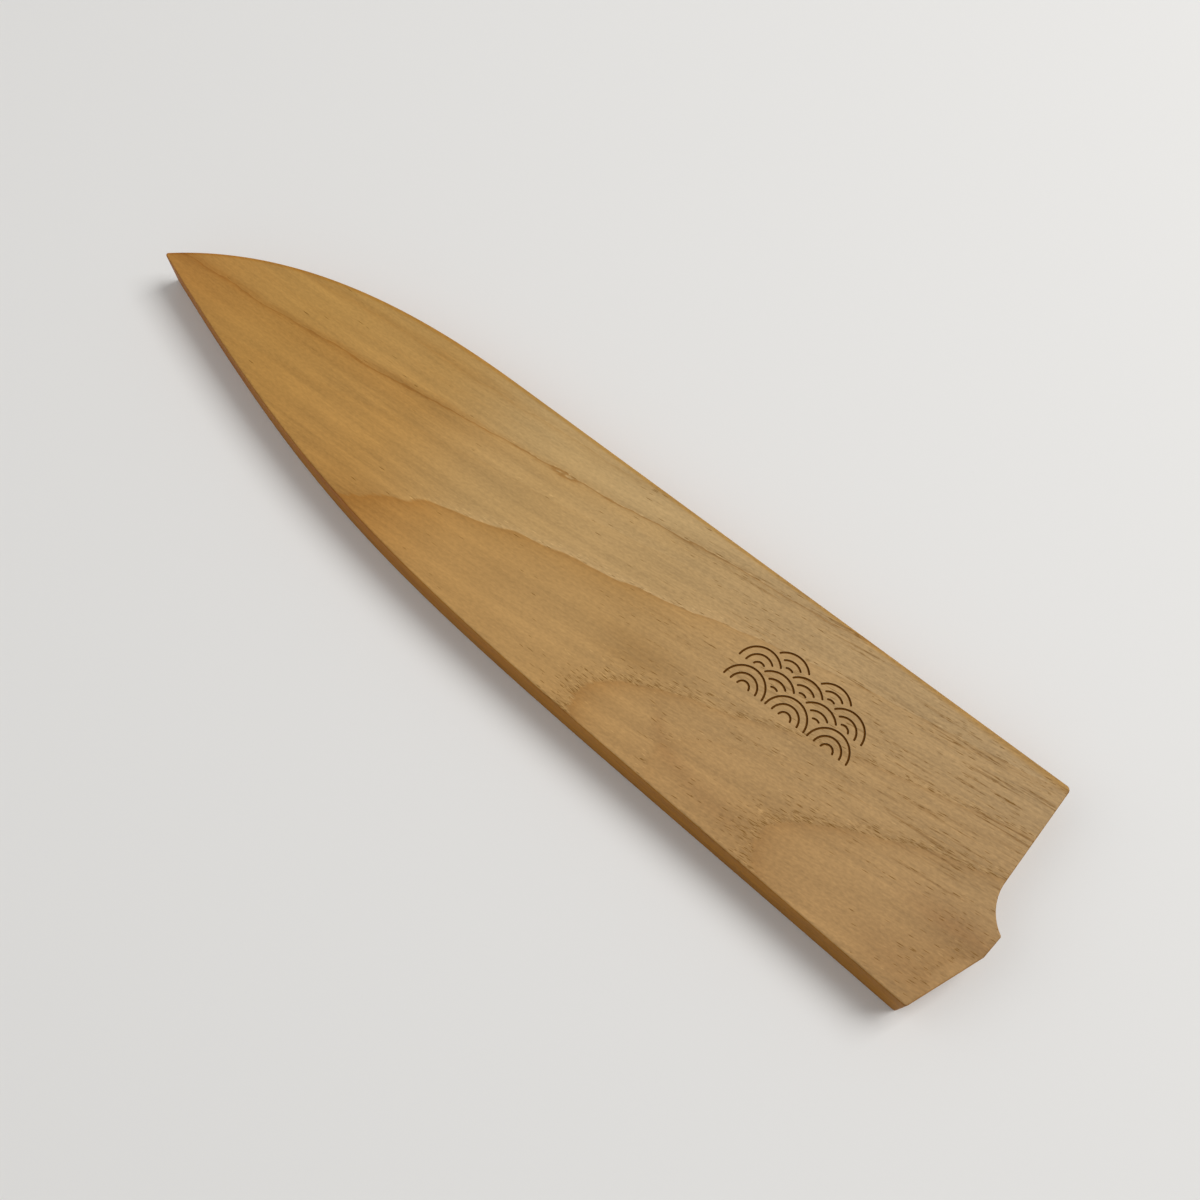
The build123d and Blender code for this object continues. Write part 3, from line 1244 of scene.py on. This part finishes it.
def wave_pen():
    curve = bpy.data.curves.new("wave pen", "CURVE")
    curve.dimensions = "3D"
    curve.fill_mode = "FULL"
    curve.bevel_depth = wave_line_width / 2
    curve.bevel_resolution = pen_roundness
    curve.use_fill_caps = True
    centres = wave_centres()
    for centre in centres:
        steps = [other - centre for other in centres if other.y < centre.y - row_tolerance]
        near = [step for step in steps if step.length < 2 * wave_radius]
        right = [(step.x, -step.y) for step in near if step.x >= 0]
        left = [(-step.x, -step.y) for step in near if step.x <= 0]
        for share in wave_ring_shares:
            radius = share * wave_radius - (wave_line_width + wave_line_gap) / 2
            low_angle = first_angle(radius, right)
            high_angle = pi - first_angle(radius, left)
            pen_stroke(curve, centre, radius, low_angle, high_angle)
    strokes = drawn(curve)
    bmesh.ops.remove_doubles(strokes, verts=strokes.verts, dist=level_tolerance)
    bmesh.ops.recalc_face_normals(strokes, faces=strokes.faces)
    return keep(strokes, "wave_strokes")


def plain(name, colour, roughness, metallic=0.0, specular=0.5):
    paint, _, shader = new_paint(name)
    shader.inputs["Base Color"].default_value = (*colour, 1)
    shader.inputs["Roughness"].default_value = roughness
    shader.inputs["Metallic"].default_value = metallic
    shader.inputs["Specular IOR Level"].default_value = specular
    return paint


burnt_wood = plain("burnt wood", burnt_colour, burnt_roughness, specular=0.0)
pen = wave_pen()
pen.data.materials.append(burnt_wood)
front_panel.data.materials.append(front_wood)
cut(front_panel, pen)
print("front faces", len(front_panel.data.polygons), [m.name for m in front_panel.data.materials])

# %% [markdown]
# Three disc magnets sit in blind pockets in the back board, a hair below the slot's floor. A
# turned pocket is a little wider than its disc. The discs are nickel plated, with softly rounded
# rims.

# %% Magnets
pocket_clearance = 0.05
disc_sides = 96
magnet_rim = 0.2
magnet_rim_steps = 3
nickel_colour = (0.66, 0.63, 0.58)
nickel_roughness = 0.28


def disc(radius, low, high, middle, rim):
    shape = bmesh.new()
    bmesh.ops.create_cone(
        shape, cap_ends=True, segments=disc_sides, radius1=radius, radius2=radius, depth=high - low
    )
    bmesh.ops.translate(shape, verts=shape.verts, vec=(middle.x, middle.y, (high + low) / 2))
    if rim:
        edges = rim_edges(shape, low) + rim_edges(shape, high)
        bevel_edges(shape, edges, rim, magnet_rim_steps)
    return shape


nickel = plain("nickel plating", nickel_colour, nickel_roughness, metallic=1.0)
magnets = []
back_panel.data.materials.append(back_wood)
for node in magnet_nodes:
    low, high = (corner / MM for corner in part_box(node))
    middle = (low + high) / 2
    radius = (high.x - low.x) / 2
    hole = disc(radius + pocket_clearance, low.z, slot_floor + overlap, middle, 0)
    hole_tool = keep(hole, "pocket")
    hole_tool.data.materials.append(back_wood)
    cut(back_panel, hole_tool)
    magnet = keep(disc(radius, low.z, high.z, middle, magnet_rim), node + "_disc")
    magnet.data.materials.append(nickel)
    magnets.append((magnet, node))
    print(node, "radius", round(radius, 2))

# %% [markdown]
# Last, every piece is scaled from millimetres to metres, smooth shaded with its crisp edges kept,
# and takes the place of the part it dresses. The weighted normals keep the flat faces flat right
# up to their eased rims.

# %% Finish the pieces
crease = radians(32)


def dress(piece, node, paint):
    mesh = piece.data
    mesh.name = piece.name
    if not mesh.materials:
        mesh.materials.append(paint)
    mesh.transform(Matrix.Scale(MM, 4))
    mesh.shade_smooth()
    mesh.set_sharp_from_angle(angle=crease)
    weight = piece.modifiers.new("flat faces stay flat", "WEIGHTED_NORMAL")
    weight.mode = "FACE_AREA"
    weight.keep_sharp = True
    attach(piece, "root")
    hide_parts(node)
    print(piece.name, "faces", len(mesh.polygons))


dress(front_panel, "front_board", front_wood)
dress(back_panel, "back_board", back_wood)
dress(spine_lath, "spine_strip", core_wood)
dress(edge_lath, "edge_strip", core_wood)
dress(nose_block, "tip_block", core_wood)
for magnet, node in magnets:
    dress(magnet, node, nickel)
